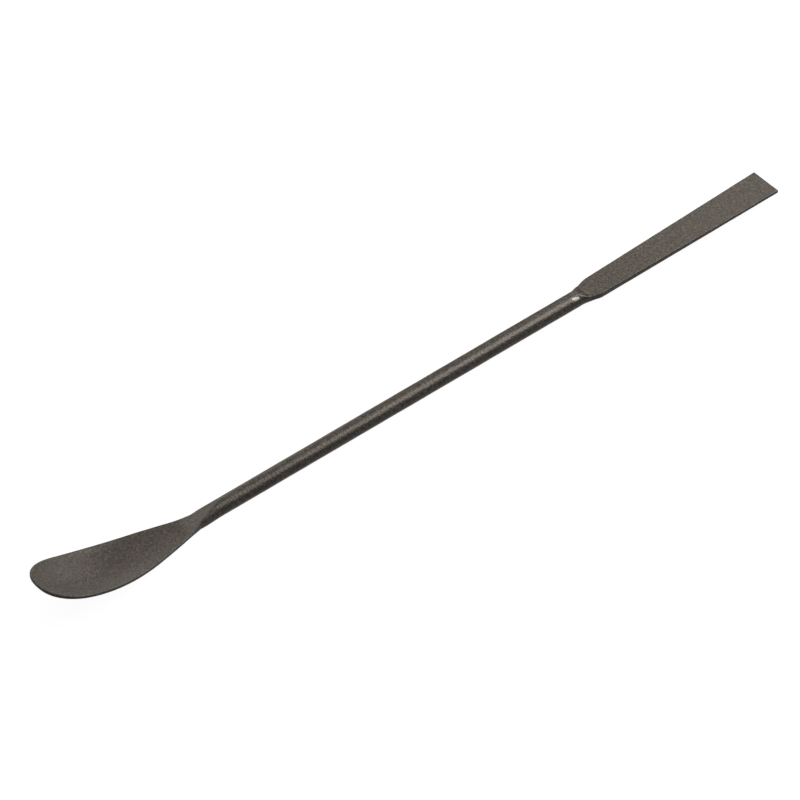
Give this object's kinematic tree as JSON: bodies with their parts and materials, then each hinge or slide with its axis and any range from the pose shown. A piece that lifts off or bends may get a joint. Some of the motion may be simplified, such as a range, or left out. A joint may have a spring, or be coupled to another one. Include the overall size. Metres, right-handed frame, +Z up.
{
  "type": "double-ended micro spatula",
  "caption": "Double-ended coated micro spatula: a shallow upturned spoon and a thin square-tipped blade on one slim round rod.",
  "frame": {"origin": "on the rod's axis at the middle of the round grip", "axes": "+X along the rod towards the blade tip, +Z up, the way the spoon opens; the part is symmetric about the XZ plane"},
  "size_m": [0.2285, 0.0162, 0.0111],
  "materials": {
    "steel": "forged and ground stainless steel, seen only where the coat is chipped",
    "coat": "warm dark grey fused non-stick coat, matte with a fine grain"
  },
  "bodies": {
    "root": {"spoon_end": "steel", "grip_rod": "steel", "blade_end": "steel", "nonstick_coat": "coat"}
  },
  "joints": []
}
